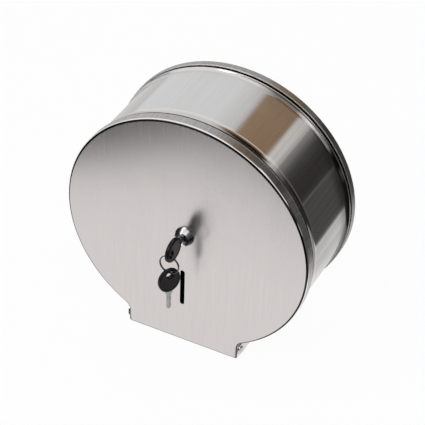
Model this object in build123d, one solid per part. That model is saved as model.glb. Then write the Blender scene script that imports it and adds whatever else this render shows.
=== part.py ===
from build123d import *
import os
from math import acos, cos, degrees, hypot, pi, radians, sin, tan

# Wall dispenser for one jumbo toilet roll, with a drum housing, a cover hinged at its
# chin, a cam lock and two keys on a split ring.
# Millimetres. The origin is the centre of the wall face, X runs right and Z up, and the
# dispenser stands out along -Y. Every place across the depth is a distance off the wall.

# Driving dimensions -----------------------------------------------------------------
sheet = 1.0
overall_depth = 117.5

# drum band
drum_radius = 132.0
rim_flare = 2.5
groove_step = 0.5
rim_width = 2.0
front_rim_width = 1.4
rear_groove = 3.0
front_gap = 0.9
rear_cove_length = 6.5
front_cove_length = 11.2
band_foot = 6.0
register_length = 6.0
register_below_centre = 20.0

# outline shared by the cover and the back pan
face_overhang = 0.5
chin_half_width = 64.0
chin_drop = 5.3
neck_radius = 10.0
corner_radius = 3.0
edge_radius = 1.4
cover_edge_radius = 2.4
cover_flange = 12.1
pan_flange = 8.6

# back pan
emboss_radius = 38.0
emboss_height = 3.0
wall_hole_spacing = 140.0
wall_hole_radius = 3.25

# paper exit, its heights taken from the bottom of the chin
cover_side_gap = 0.4
cheek_lift = 3.3
cheek_lap = 8.0
tooth_pitch = 4.0
tooth_depth = 3.0
blade_rear = 12.5
blade_behind_face = 21.0
blade_lift = 0.3
blade_height = 13.0
blade_rivet_inset = 3.5
lap_rivet_inset = 16.0
rivet_radius = 1.5
rivet_head_radius = 2.6
rivet_head_height = 0.9
rivet_sink = 0.03

# cover hinge
hinge_behind_face = 7.0
hinge_lift = 10.3
hinge_pin_radius = 2.0
pin_head_radius = 3.6
pin_head_height = 1.3
ear_radius = 6.5
running_gap = 0.05
head_gap = 0.3
stop_behind_face = 18.7
stop_height = 6.0
stop_reach = 4.4

# spindle and roll hub
spindle_radius = 8.0
spindle_behind_face = 28.5
spindle_chamfer = 0.8
screw_hole_depth = 12.0
base_radius = 30.0
base_thickness = 2.0
base_rivet_radius = 2.0
base_head_radius = 3.8
base_head_height = 1.4
collar_radius = 12.0
collar_height = 8.0
collar_fillet = 1.5
washer_thickness = 1.0
washer_radius = 14.0
clip_from_end = 4.5
clip_thickness = 1.1
clip_radius = 10.5
groove_depth = 1.0
hub_radius = 25.0
hub_wall = 2.0
hub_flange_radius = 45.0
hub_flange = 2.5
hub_tube_radius = 11.0
hub_ribs = 6
hub_rib_thickness = 1.8
hub_rib_setback = 6.0
hub_end_gap = 0.2
hub_edge = 0.8
hub_lead_in = 3.0

# catch behind the lock
catch_sheet = 1.5
catch_reach = 22.5
catch_tail = 9.0
catch_lip = 11.0
catch_half_width = 7.0
catch_bend = 2.2
catch_clearance = 1.1
screw_radius = 2.0
screw_length = 11.0
screw_head_radius = 4.2
screw_head_height = 2.6
screw_head_round = 1.0
screw_tip = 0.6

# cam lock, measured from the face of the cover
lock_body_radius = 8.0
lock_flat = 7.0
lock_body_length = 15.7
lock_hole_gap = 0.15
bezel_radius = 10.5
bezel_top_radius = 8.2
bezel_height = 7.0
bezel_foot = 0.8
bezel_edge = 0.7
mouth_edge = 0.5
plug_radius = 5.0
plug_head_radius = 5.5
plug_recess = 0.6
plug_head_length = 2.9
plug_edge = 0.3
stud_overlap = 0.1
keyway_width = 2.3
keyway_height = 5.5
lock_washer_radius = 12.0
nut_flats = 20.0
nut_thickness = 4.0
cam_gap = 0.3
cam_thickness = 2.0
cam_length = 19.5
cam_half_width = 5.5
cam_square = 6.5
cam_hub_radius = 7.5
cam_washer_radius = 5.0
cam_washer_thickness = 0.8
cam_nut_flats = 7.0
cam_nut_thickness = 2.8
stud_radius = 2.0
stud_length = 4.3

# sight slot in the cover
slot_off_centre = -1.3
slot_below_centre = 68.1
slot_length = 45.1
slot_width = 5.0

# keys and ring
bow_length = 28.6
bow_height = 24.6
bow_thickness = 5.0
bow_edge = 1.5
bow_border = 2.4
bow_panel_depth = 0.4
bow_hole_radius = 4.2
bow_hole_from_end = 6.7
bow_hole_edge = 0.8
key_length = 45.0
key_thickness = 1.9
key_blade_height = 5.0
key_tongue = 8.0
key_shoulder_height = 7.5
key_shoulder_length = 3.2
key_cuts = (0.6, 1.1, 0.4, 0.9)
key_cut_pitch = 3.2
key_cut_ramp = 0.9
key_cut_flat = 0.8
first_cut = 2.4
key_nose = 2.2
key_groove_height = 1.2
key_groove_depth = 0.35
key_hole_off_face = 32.0
spare_turn = 32.0
ring_radius = 10.4
ring_wire_radius = 0.6
ring_wire_pitch = 1.0
ring_clearance = 0.7
spare_clearance = 1.5

# Derived places ---------------------------------------------------------------------
face = overall_depth
rim_radius = drum_radius + rim_flare
groove_radius = drum_radius + groove_step
face_radius = rim_radius + face_overhang
chin_bottom = -(face_radius + chin_drop)
cheek_bottom = chin_bottom + cheek_lift
blade_tip = chin_bottom + blade_lift
blade_top = blade_tip + blade_height
exit_teeth = int((face - blade_behind_face - blade_rear) / tooth_pitch)
hinge_height = chin_bottom + hinge_lift
cover_rim = face - cover_flange
cheek_inner = chin_half_width + cover_side_gap
cheek_outer = cheek_inner + sheet
pan_half_width = cheek_outer + sheet
band_inner = drum_radius - sheet
band_front = cover_rim - front_gap
band_rear_rim = pan_flange + rear_groove
neck_angle = degrees(acos((cheek_outer + neck_radius) / (band_inner + neck_radius)))
hinge_off_wall = face - hinge_behind_face
base_seat = emboss_height + sheet
base_front = base_seat + base_thickness
collar_front = base_front + collar_height
rivet_circle = (collar_radius + base_radius) / 2 + 1
spindle_end = face - spindle_behind_face
clip_groove = spindle_end - clip_from_end
hub_rear = collar_front + washer_thickness + hub_end_gap
hub_front = clip_groove - washer_thickness - 2 * hub_end_gap
lock_rear = face - lock_body_length
bezel_front = face + bezel_height
plug_front = bezel_front - plug_recess
cam_front = lock_rear - cam_gap
cam_rear = cam_front - cam_thickness
cam_washer_rear = cam_rear - cam_washer_thickness
catch_front = cam_front + catch_clearance + catch_sheet
key_hole = face + key_hole_off_face
ring_inner = ring_radius - ring_wire_radius
ring_height = ring_clearance - bow_hole_radius - ring_inner
spare_hole_height = ring_height - ring_inner + spare_clearance - bow_hole_radius

# A sketch whose X is a radius and whose Y is the distance off the wall
turning_plane = Plane(origin=(0, 0, 0), x_dir=(1, 0, 0), z_dir=(0, 0, -1))
out_axis = Axis((0, 0, 0), (0, -1, 0))


# Helpers ----------------------------------------------------------------------------
def off_wall(sketch, start, end):
    """Extrude a sketch in X and Z between two distances off the wall."""
    return extrude(Plane.XZ.offset(start) * sketch, amount=end - start)


def across(sketch, start, end):
    """Extrude a sketch of (distance off the wall, Z) between two places on X."""
    plane = Plane(origin=(end, 0, 0), x_dir=(0, -1, 0), z_dir=(-1, 0, 0))
    return extrude(plane * sketch, amount=end - start)


def turned(profile, start_angle=0.0, arc=360.0):
    """Revolve a sketch of (radius, distance off the wall), anticlockwise from +X."""
    solid = revolve(turning_plane * profile, axis=out_axis, revolution_arc=arc)
    return solid.rotate(out_axis, start_angle)


def ring(inner, outer, start, end):
    """Plain washer or sleeve round the centre line."""
    return off_wall(Circle(outer) - Circle(inner), start, end)


def face_of(*points):
    """Flat face with straight sides."""
    return make_face(Polyline(*points, close=True))


def outline(half_width, inset=0.0, radius=face_radius, bottom=chin_bottom):
    """Disc with a chin: hollow necks and round lower corners, drawn inside by the inset."""
    floor = bottom + inset
    chin = Pos(0, floor / 2) * Rectangle(2 * (half_width - inset), -floor)
    shape = Circle(radius - inset) + chin
    corners = shape.vertices().filter_by(lambda v: v.Y < floor + 0.01)
    shape = fillet(corners, corner_radius - inset)
    necks = shape.vertices().filter_by(lambda v: v.Y < 0 and hypot(v.X, v.Y) < radius - inset + 0.01)
    return fillet(necks, neck_radius + inset)


def rivet(grip, shank, head, head_height):
    """Rivet standing on its own Z axis, with a low head at each end of the grip."""
    crown = head - head_height / 2
    top = grip + head_height
    profile = Polyline((0, -head_height), (crown, -head_height), (head, 0), (shank, 0),
                       (shank, grip), (head, grip), (crown, top), (0, top), close=True)
    return revolve(Plane.XZ * make_face(profile), axis=Axis.Z)


def hexagon_nut(flats, bore, start, end):
    """Hexagon nut on the centre line."""
    return off_wall(RegularPolygon(flats / 2, 6, major_radius=False) - Circle(bore), start, end)


def pattern(places, shape):
    """One sketch of the same shape at every place."""
    return Sketch() + [place * shape for place in places]


def group(solids):
    """Separate solids kept together in one node."""
    return Compound(children=list(solids))


# Housing ----------------------------------------------------------------------------
def back_pan():
    """Dished back plate with a raised centre, wall screw holes and a flange all round."""
    pan = off_wall(outline(pan_half_width), 0, pan_flange)
    pan = fillet(pan.faces().sort_by(Axis.Y)[-1].edges(), edge_radius)
    pan -= off_wall(outline(pan_half_width, sheet), sheet, pan_flange)
    foot = emboss_radius + emboss_height
    rim = foot + emboss_height
    slant = sheet * tan(radians(22.5))
    pan -= off_wall(Circle(rim), 0, sheet)
    pan += turned(face_of((0, emboss_height), (emboss_radius, emboss_height), (foot, 0), (rim, 0),
                          (rim, sheet), (foot + slant, sheet), (emboss_radius + slant, base_seat),
                          (0, base_seat)))
    wall_holes = GridLocations(wall_hole_spacing, wall_hole_spacing, 2, 2)
    pan -= off_wall(pattern(wall_holes, Circle(wall_hole_radius)), 0, sheet)
    return pan - off_wall(pattern(base_rivet_places(), Circle(base_rivet_radius)), 0, base_seat)


def base_rivet_places():
    """Places of the four rivets that hold the spindle base."""
    return PolarLocations(rivet_circle, 4, start_angle=45)


def band_skin(inset):
    """One face of the band's sheet, from its foot over both coves to the front crest."""
    drum = drum_radius - inset
    rim = rim_radius - inset
    groove = groove_radius - inset
    rear_crest = band_rear_rim + rim_width
    front_crest = band_front - front_rim_width
    cove_rear = rear_crest + rear_cove_length
    cove_front = front_crest - front_cove_length
    return [
        Polyline((groove_radius - band_foot, sheet + inset), (groove, sheet + inset),
                 (groove, band_rear_rim + inset), (rim, band_rear_rim + inset), (rim, rear_crest)),
        TangentArc((drum, cove_rear), (rim, rear_crest), tangent=(0, -1)),
        Line((drum, cove_rear), (drum, cove_front)),
        TangentArc((drum, cove_front), (rim, front_crest), tangent=(0, 1)),
        Polyline((rim, front_crest), (rim, band_front - inset),
                 (groove_radius - sheet, band_front - inset)),
    ]


def drum_band():
    """Rolled band with a coved flare at both ends, a turned-in foot and a front register."""
    foot_radius = groove_radius - band_foot
    lip_radius = groove_radius - sheet
    ends = [Line((foot_radius, sheet), (foot_radius, 2 * sheet)),
            Line((lip_radius, band_front), (lip_radius, band_front - sheet))]
    skins = band_skin(0) + band_skin(sheet) + ends
    profile = make_face([edge for line in skins for edge in line.edges()])
    band = turned(profile, -neck_angle, 180 + 2 * neck_angle)
    register = face_of((lip_radius, band_front - sheet), (groove_radius, band_front - sheet),
                       (groove_radius, band_front + register_length),
                       (lip_radius, band_front + register_length))
    band += turned(register, -register_below_centre, 180 + 2 * register_below_centre)
    for cutter in lap_rivet_planes():
        hole = extrude(cutter * Circle(rivet_radius), amount=4 * sheet)
        band -= hole + mirror(hole, about=Plane.YZ)
    return band


def cheek_section():
    """Side wall seen from the front: a lap inside the drum, the neck, then straight down."""
    reach = cheek_bottom - 2 * neck_radius
    wall = outline(cheek_outer, 0, band_inner, reach) - outline(cheek_outer, sheet, band_inner, reach)
    slope = tan(radians(neck_angle - cheek_lap))
    return wall & face_of((0, 0), (-cheek_bottom / slope, cheek_bottom), (0, cheek_bottom))


def right_cheek():
    """Right side wall of the paper exit, with the hinge ear and the cover stop."""
    wall = off_wall(cheek_section(), 2 * sheet, band_front)
    pivot = Pos(hinge_off_wall, hinge_height)
    reach = hinge_off_wall - band_front + sheet
    ear = Circle(ear_radius) + Pos(-reach / 2, 0) * Rectangle(reach, 2 * ear_radius)
    wall += across(pivot * ear, cheek_inner, cheek_outer)
    stop_front = face - stop_behind_face
    stop = Pos(stop_front - sheet / 2, cheek_bottom + stop_height / 2) * Rectangle(sheet, stop_height)
    wall += across(stop, cheek_inner - stop_reach, cheek_outer)
    wall -= across(pivot * Circle(hinge_pin_radius), cheek_inner, cheek_outer)
    for place in blade_rivet_places():
        wall -= across(place * Circle(rivet_radius), cheek_inner, cheek_outer)
    for cutter in lap_rivet_planes():
        wall -= extrude(cutter * Circle(rivet_radius), amount=2 * sheet)
    return wall


def blade_rivet_places():
    """Rivets that hold a tear blade, as (distance off the wall, Z)."""
    length = exit_teeth * tooth_pitch
    return [Pos(blade_rear + length * share, blade_top - blade_rivet_inset) for share in (0.1, 0.5, 0.9)]


def lap_rivet_planes():
    """Planes on the inside of the right lap, facing out through cheek and band."""
    angle = radians(neck_angle - cheek_lap / 2)
    out = (cos(angle), 0, -sin(angle))
    reach = band_inner - sheet - rivet_sink
    rear = band_rear_rim + lap_rivet_inset
    front = band_front - lap_rivet_inset
    return [Plane(origin=(reach * out[0], -depth, reach * out[2]), z_dir=out)
            for depth in (rear, (band_rear_rim + band_front) / 2, front)]


def right_tear_blade():
    """Serrated strip along the right side of the paper exit, teeth down."""
    root = blade_tip + tooth_depth
    end = blade_rear + exit_teeth * tooth_pitch
    teeth = [(blade_rear + tooth_pitch * (i / 2), root if i % 2 == 0 else blade_tip)
             for i in range(2 * exit_teeth + 1)]
    strip = face_of((blade_rear, blade_top), *teeth, (end, blade_top))
    blade = across(strip, cheek_inner - sheet, cheek_inner)
    for place in blade_rivet_places():
        blade -= across(place * Circle(rivet_radius), cheek_inner - sheet, cheek_inner)
    return blade


def small_rivet(sink=0.0):
    """Rivet through two thicknesses of sheet."""
    return rivet(2 * sheet + sink, rivet_radius, rivet_head_radius, rivet_head_height)


def both_sides(solids):
    """The solids of the right side and their mirror images."""
    return solids + [mirror(solid, about=Plane.YZ) for solid in solids]


def blade_rivets():
    """Rivets through each tear blade and its cheek."""
    inside = cheek_inner - sheet
    return both_sides([Plane(origin=(inside, -place.position.X, place.position.Y), z_dir=(1, 0, 0))
                       * small_rivet() for place in blade_rivet_places()])


def lap_rivets():
    """Rivets through the lap of drum band and cheek on both sides."""
    return both_sides([plane * small_rivet(rivet_sink) for plane in lap_rivet_planes()])


def hinge_pins():
    """Riveted pins, held in the ears, that the holes in the cover's flange turn on."""
    inner_head = chin_half_width - sheet - head_gap
    pin = rivet(cheek_outer - inner_head, hinge_pin_radius, pin_head_radius, pin_head_height)
    return both_sides([Plane(origin=(inner_head, -hinge_off_wall, hinge_height), z_dir=(1, 0, 0)) * pin])


# Spindle and hub --------------------------------------------------------------------
def spindle_base():
    """Round foot with a collar that grips the spindle."""
    edge = mouth_edge
    root = collar_radius + collar_fillet
    base = turned(face_of((spindle_radius, base_seat), (base_radius, base_seat),
                          (base_radius, base_front - edge), (base_radius - edge, base_front),
                          (root, base_front), (collar_radius, base_front + collar_fillet),
                          (collar_radius, collar_front - edge), (collar_radius - edge, collar_front),
                          (spindle_radius, collar_front)))
    return base - off_wall(pattern(base_rivet_places(), Circle(base_rivet_radius)), base_seat, base_front)


def base_rivets():
    """Rivets through the spindle base and the raised centre of the pan."""
    through = rivet(sheet + base_thickness, base_rivet_radius, base_head_radius, base_head_height)
    return [Plane(origin=(spot.position.X, -emboss_height, spot.position.Y), z_dir=(0, -1, 0)) * through
            for spot in base_rivet_places()]


def spindle():
    """Steel rod with a clip groove and a tapped front end."""
    groove_end = clip_groove + clip_thickness
    floor = spindle_radius - groove_depth
    tap_floor = spindle_end - screw_hole_depth
    return turned(face_of((0, base_seat), (spindle_radius, base_seat), (spindle_radius, clip_groove),
                          (floor, clip_groove), (floor, groove_end), (spindle_radius, groove_end),
                          (spindle_radius, spindle_end - spindle_chamfer),
                          (spindle_radius - spindle_chamfer, spindle_end), (screw_radius, spindle_end),
                          (screw_radius, tap_floor), (0, tap_floor)))


def retaining_clip():
    """Open clip in the groove of the spindle."""
    clip = ring(spindle_radius - groove_depth, clip_radius, clip_groove, clip_groove + clip_thickness)
    mouth = face_of((0, 0), (clip_radius * 0.7, -2 * clip_radius), (-clip_radius * 0.7, -2 * clip_radius))
    return clip - off_wall(mouth, clip_groove, clip_groove + clip_thickness)


def roll_hub():
    """Moulded hub that carries the core: flange, outer sleeve, bearing tube and ribs."""
    bore = spindle_radius + running_gap
    web = hub_rear + hub_flange
    inner = hub_radius - hub_wall
    hub = turned(face_of((bore, hub_rear), (hub_flange_radius - hub_edge, hub_rear),
                         (hub_flange_radius, hub_rear + hub_edge), (hub_flange_radius - hub_edge, web),
                         (hub_radius, web), (hub_radius, hub_front - hub_lead_in),
                         (hub_radius - sheet, hub_front), (inner, hub_front), (inner, web),
                         (hub_tube_radius, web), (hub_tube_radius, hub_front), (bore, hub_front)))
    reach = inner - hub_tube_radius
    rib = Pos(hub_tube_radius + reach / 2, 0) * Rectangle(reach + sheet, hub_rib_thickness)
    return hub + off_wall(pattern(PolarLocations(0, hub_ribs), rib), web, hub_front - hub_rib_setback)


def lock_catch():
    """Bent strip on the spindle end, with a lip that the cam turns behind."""
    back = spindle_end
    front = back + catch_sheet
    wall = catch_sheet - catch_reach
    lip = catch_front - catch_sheet
    strip = face_of((catch_tail, back), (-catch_reach, back), (-catch_reach, catch_front),
                    (catch_lip - catch_reach, catch_front), (catch_lip - catch_reach, lip),
                    (wall, lip), (wall, front), (catch_tail, front))
    outer = strip.vertices().filter_by(lambda v: v.X < 0.1 - catch_reach)
    strip = fillet(outer, catch_bend)
    inner = strip.vertices().filter_by(lambda v: abs(v.X - wall) < 0.01)
    strip = fillet(inner, catch_bend - catch_sheet)
    body = extrude(turning_plane * strip, amount=catch_half_width, both=True)
    return body - off_wall(Circle(screw_radius + lock_hole_gap), back, front)


def catch_screw():
    """Pan head screw that clamps the catch to the spindle."""
    seat = spindle_end + catch_sheet
    tip = spindle_end - screw_length
    top = seat + screw_head_height
    return turned(face_of((0, tip), (screw_radius - screw_tip, tip), (screw_radius, tip + screw_tip),
                          (screw_radius, seat), (screw_head_radius, seat),
                          (screw_head_radius, top - screw_head_round),
                          (screw_head_radius - screw_head_round, top), (0, top)))


# Cover and lock ---------------------------------------------------------------------
def lock_hole():
    """Round hole with two flats that keeps the lock from turning."""
    flats = Rectangle(2 * (lock_flat + lock_hole_gap), 4 * lock_body_radius)
    return Circle(lock_body_radius + lock_hole_gap) & flats


def front_cover():
    """Pressed cover with a flange all round, the lock hole, sight slot and hinge holes."""
    cover = off_wall(outline(chin_half_width), cover_rim, face)
    cover = fillet(cover.faces().sort_by(Axis.Y)[0].edges(), cover_edge_radius)
    hollow = off_wall(outline(chin_half_width, sheet), cover_rim, face - sheet)
    cover -= fillet(hollow.faces().sort_by(Axis.Y)[0].edges(), cover_edge_radius - sheet)
    cover -= off_wall(lock_hole(), cover_rim, face)
    slot = Pos(slot_off_centre, -slot_below_centre) * SlotOverall(slot_length, slot_width, rotation=90)
    cover -= off_wall(slot, cover_rim, face)
    pivot = Pos(hinge_off_wall, hinge_height) * Circle(hinge_pin_radius + running_gap)
    return cover - across(pivot, -2 * chin_half_width, 2 * chin_half_width)


def lock_housing():
    """Chrome bezel and threaded body with two flats, bored for the plug."""
    bore = plug_radius + running_gap
    head_bore = plug_head_radius + running_gap
    step = plug_front - plug_head_length
    body = turned(face_of((bore, lock_rear), (lock_body_radius, lock_rear), (lock_body_radius, face),
                          (bezel_radius, face), (bezel_radius, face + bezel_foot),
                          (bezel_top_radius, bezel_front - bezel_edge),
                          (bezel_top_radius - bezel_edge, bezel_front),
                          (head_bore + mouth_edge, bezel_front), (head_bore, bezel_front - mouth_edge),
                          (head_bore, step), (bore, step)))
    width = 2 * lock_body_radius
    for side in (-1, 1):
        waste = Pos(side * (lock_flat + lock_body_radius), 0) * Rectangle(width, 2 * width)
        body -= off_wall(waste, lock_rear, face)
    return body


def lock_washer():
    """Washer between the cover and the lock nut."""
    return ring(lock_body_radius + lock_hole_gap, lock_washer_radius, face - 2 * sheet, face - sheet)


def lock_nut():
    """Thin hexagon nut on the lock body."""
    seat = face - 2 * sheet
    return hexagon_nut(nut_flats, lock_body_radius, seat - nut_thickness, seat)


def lock_plug():
    """Turning plug with a keyway, a square for the cam and a threaded stud."""
    step = plug_front - plug_head_length + running_gap
    edge = plug_edge
    plug = turned(face_of((0, lock_rear), (plug_radius, lock_rear), (plug_radius, step),
                          (plug_head_radius, step), (plug_head_radius, plug_front - edge),
                          (plug_head_radius - edge, plug_front), (0, plug_front)))
    keyway = Rectangle(keyway_width, keyway_height)
    plug -= off_wall(keyway, lock_rear + 1, plug_front)
    seat = cam_rear + stud_overlap
    plug += off_wall(Rectangle(cam_square, cam_square), seat, lock_rear)
    return plug + off_wall(Circle(stud_radius), cam_rear - stud_length, seat)


def lock_cam():
    """Flat cam that points down when unlocked."""
    tip = Pos(0, cam_half_width - cam_length)
    reach = cam_length - cam_half_width
    arm = Pos(0, -reach / 2) * Rectangle(2 * cam_half_width, reach)
    blank = Circle(cam_hub_radius) + arm + tip * Circle(cam_half_width)
    return off_wall(blank - Rectangle(cam_square, cam_square), cam_rear, cam_front)


def cam_washer():
    """Washer behind the cam."""
    return ring(stud_radius, cam_washer_radius, cam_washer_rear, cam_rear)


def cam_nut():
    """Small nut that clamps the cam on the plug."""
    return hexagon_nut(cam_nut_flats, stud_radius, cam_washer_rear - cam_nut_thickness, cam_washer_rear)


# Keys -------------------------------------------------------------------------------
# A key is drawn with the hole of its bow at the origin and its blade along +Y.
def key_plane(x):
    """Plane across the key at X, whose sketches are (along the key, Z)."""
    return Plane(origin=(x, 0, 0), x_dir=(0, 1, 0), z_dir=(1, 0, 0))


def key_steel():
    """Flat steel of one key: the tongue in the bow, the shoulder and a cut, grooved blade."""
    bow_end = bow_length - bow_hole_from_end
    tongue = bow_end - key_tongue
    shoulder = bow_end + key_shoulder_length
    half = key_blade_height / 2
    wide = key_shoulder_height / 2
    cuts = []
    for index, depth in enumerate(key_cuts):
        start = shoulder + first_cut + key_cut_pitch * index
        flat_end = start + key_cut_ramp + key_cut_flat
        cuts += [(start, half), (start + key_cut_ramp, half - depth), (flat_end, half - depth),
                 (flat_end + key_cut_ramp, half)]
    nose = key_length - key_nose
    shape = face_of((tongue, -wide), (shoulder, -wide), (shoulder, -half), (nose, -half),
                    (key_length, -half / 3), (key_length, half / 6), (nose, half),
                    *reversed(cuts), (shoulder, half), (shoulder, wide), (tongue, wide))
    steel = extrude(key_plane(-key_thickness / 2) * shape, amount=key_thickness)
    middle = (shoulder + 1 + key_length) / 2
    groove = Pos(middle, -key_groove_height / 4) * Rectangle(key_length - shoulder - 1, key_groove_height)
    for side in (-key_thickness / 2, key_thickness / 2 - key_groove_depth):
        steel -= extrude(key_plane(side) * groove, amount=key_groove_depth)
    return steel


def key_bow():
    """Oval plastic bow with soft edges, a ring hole and a shallow panel on each face."""
    half = bow_thickness / 2
    centre = Pos(bow_length / 2 - bow_hole_from_end, 0)
    bow = extrude(key_plane(-half) * centre * Ellipse(bow_length / 2, bow_height / 2), amount=bow_thickness)
    bow = fillet(bow.edges(), bow_edge)
    bow -= extrude(key_plane(-half) * Circle(bow_hole_radius), amount=bow_thickness)
    rims = bow.edges().filter_by(lambda e: e.length < 2.1 * pi * bow_hole_radius and e.center().Y < 1
                                 and abs(abs(e.center().X) - half) < 0.01)
    bow = fillet(rims, bow_hole_edge)
    panel = centre * Ellipse(bow_length / 2 - bow_border, bow_height / 2 - bow_border)
    panel -= Circle(bow_hole_radius + bow_border)
    for side in (-half, half - bow_panel_depth):
        bow -= extrude(key_plane(side) * panel, amount=bow_panel_depth)
    return bow - key_steel()


def in_lock(piece):
    """Move a key piece to the key that stands in the lock."""
    return Pos(0, -key_hole, 0) * piece


def on_ring(piece):
    """Move a key piece to the spare key, which hangs blade down and a little turned."""
    return Pos(0, -key_hole, spare_hole_height) * Rot(0, 0, -spare_turn) * Rot(-90, 0, 0) * piece


def key_ring():
    """Split ring of two touching coils, in the plane across the key."""
    wires = Pos(ring_radius, ring_wire_pitch / 2) * Circle(ring_wire_radius)
    wires += Pos(ring_radius, -ring_wire_pitch / 2) * Circle(ring_wire_radius)
    coil = revolve(wires, axis=Axis.Y)
    return Pos(0, -key_hole, ring_height) * coil


# Every node, by the name a fitter would use -------------------------------------------
nodes = {
    "back_pan": back_pan(),
    "drum_band": drum_band(),
    "right_cheek": right_cheek(),
    "left_cheek": mirror(right_cheek(), about=Plane.YZ),
    "right_tear_blade": right_tear_blade(),
    "left_tear_blade": mirror(right_tear_blade(), about=Plane.YZ),
    "blade_rivets": group(blade_rivets()),
    "lap_rivets": group(lap_rivets()),
    "hinge_pins": group(hinge_pins()),
    "spindle_base": spindle_base(),
    "base_rivets": group(base_rivets()),
    "spindle": spindle(),
    "thrust_washer": ring(spindle_radius, washer_radius, collar_front, collar_front + washer_thickness),
    "hub_washer": ring(spindle_radius, washer_radius, clip_groove - washer_thickness, clip_groove),
    "retaining_clip": retaining_clip(),
    "lock_catch": lock_catch(),
    "catch_screw": catch_screw(),
    "roll_hub": roll_hub(),
    "front_cover": front_cover(),
    "lock_housing": lock_housing(),
    "lock_washer": lock_washer(),
    "lock_nut": lock_nut(),
    "lock_plug": lock_plug(),
    "lock_cam": lock_cam(),
    "cam_washer": cam_washer(),
    "cam_nut": cam_nut(),
    "key_bow": in_lock(key_bow()),
    "key_steel": in_lock(key_steel()),
    "key_ring": key_ring(),
    "spare_key_bow": on_ring(key_bow()),
    "spare_key_steel": on_ring(key_steel()),
}

os.makedirs("parts", exist_ok=True)
for name, solid in nodes.items():
    export_step(solid, f"parts/{name}.step")
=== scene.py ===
"""Dressing of a wall dispenser for one jumbo toilet roll.

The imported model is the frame. Sheet metal, lock, keys and ring are drawn again as
surfaces worked out with numpy, in metres and in the frame's own place, and the inner
pieces keep their solids with finer edges. Every finish is made of nodes.
"""

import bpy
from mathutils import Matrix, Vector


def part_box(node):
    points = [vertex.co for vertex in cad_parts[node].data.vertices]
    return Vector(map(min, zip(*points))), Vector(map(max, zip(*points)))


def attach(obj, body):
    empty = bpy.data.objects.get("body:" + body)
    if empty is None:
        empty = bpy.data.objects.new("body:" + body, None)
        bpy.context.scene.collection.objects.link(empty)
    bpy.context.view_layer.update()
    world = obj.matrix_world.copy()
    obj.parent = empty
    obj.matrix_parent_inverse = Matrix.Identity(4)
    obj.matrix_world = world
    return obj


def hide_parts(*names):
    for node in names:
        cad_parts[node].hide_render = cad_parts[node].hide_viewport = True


bl_info = {
    "name": "Jumbo roll dispenser dressing",
    "version": (1, 0, 0),
    "blender": (4, 5, 0),
    "location": "3D View > Sidebar > Dispenser",
    "description": "Draws and finishes a steel toilet roll dispenser on its packed frame",
    "category": "Object",
}

import bmesh
import bpy
import numpy as np
from bpy.props import FloatProperty, FloatVectorProperty, PointerProperty
from mathutils import Matrix, Vector
from mathutils.geometry import tessellate_polygon

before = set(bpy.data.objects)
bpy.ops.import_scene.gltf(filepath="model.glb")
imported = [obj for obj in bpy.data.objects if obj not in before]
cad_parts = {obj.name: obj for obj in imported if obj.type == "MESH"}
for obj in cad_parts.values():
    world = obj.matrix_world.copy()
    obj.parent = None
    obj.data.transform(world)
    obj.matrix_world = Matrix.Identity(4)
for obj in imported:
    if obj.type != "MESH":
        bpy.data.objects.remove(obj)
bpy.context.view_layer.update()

MM = 0.001
PI = np.pi

# Sizes shared by the pieces, in metres. A depth is a distance off the wall, along -Y.
SHEET = 1.0 * MM
DISC = 135.0 * MM
CHIN_HALF = 64.0 * MM
CHIN_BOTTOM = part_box("front_cover")[0].z
NECK = 10.0 * MM
CORNER = 3.0 * MM
PAN_EDGE = 1.4 * MM
COVER_EDGE = 2.4 * MM
FACE = -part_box("front_cover")[0].y
COVER_RIM = -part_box("front_cover")[1].y
PAN_RIM = -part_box("back_pan")[0].y
PAN_HALF = 66.4 * MM

# Drum band: radii, then depths from its foot to the end of the register.
DRUM = 132.0 * MM
BAND_RIM = 134.5 * MM
BAND_GROOVE = 132.5 * MM
BAND_FOOT = 126.5 * MM
CREST_END = 131.5 * MM
BEAD_REAR = 11.6 * MM
BEAD_FRONT = 13.6 * MM
REAR_COVE_END = 20.1 * MM
FRONT_COVE_START = 91.9 * MM
FRONT_COVE_END = 103.1 * MM
REGISTER_REAR = 103.6 * MM
BAND_FRONT = 104.5 * MM
REGISTER_FRONT = 110.5 * MM


# Mesh helpers -------------------------------------------------------------------------
def grid_faces(rows, columns, wrap_rows=False, wrap_columns=False):
    """Quads of a grid of points numbered row by row, closed onto itself where asked."""
    r = np.arange(rows if wrap_rows else rows - 1)[:, None]
    c = np.arange(columns if wrap_columns else columns - 1)[None, :]
    r2 = (r + 1) % rows
    c2 = (c + 1) % columns
    quads = [r * columns + c, r2 * columns + c, r2 * columns + c2, r * columns + c2]
    return np.stack([q.ravel() for q in quads], axis=1)


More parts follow.
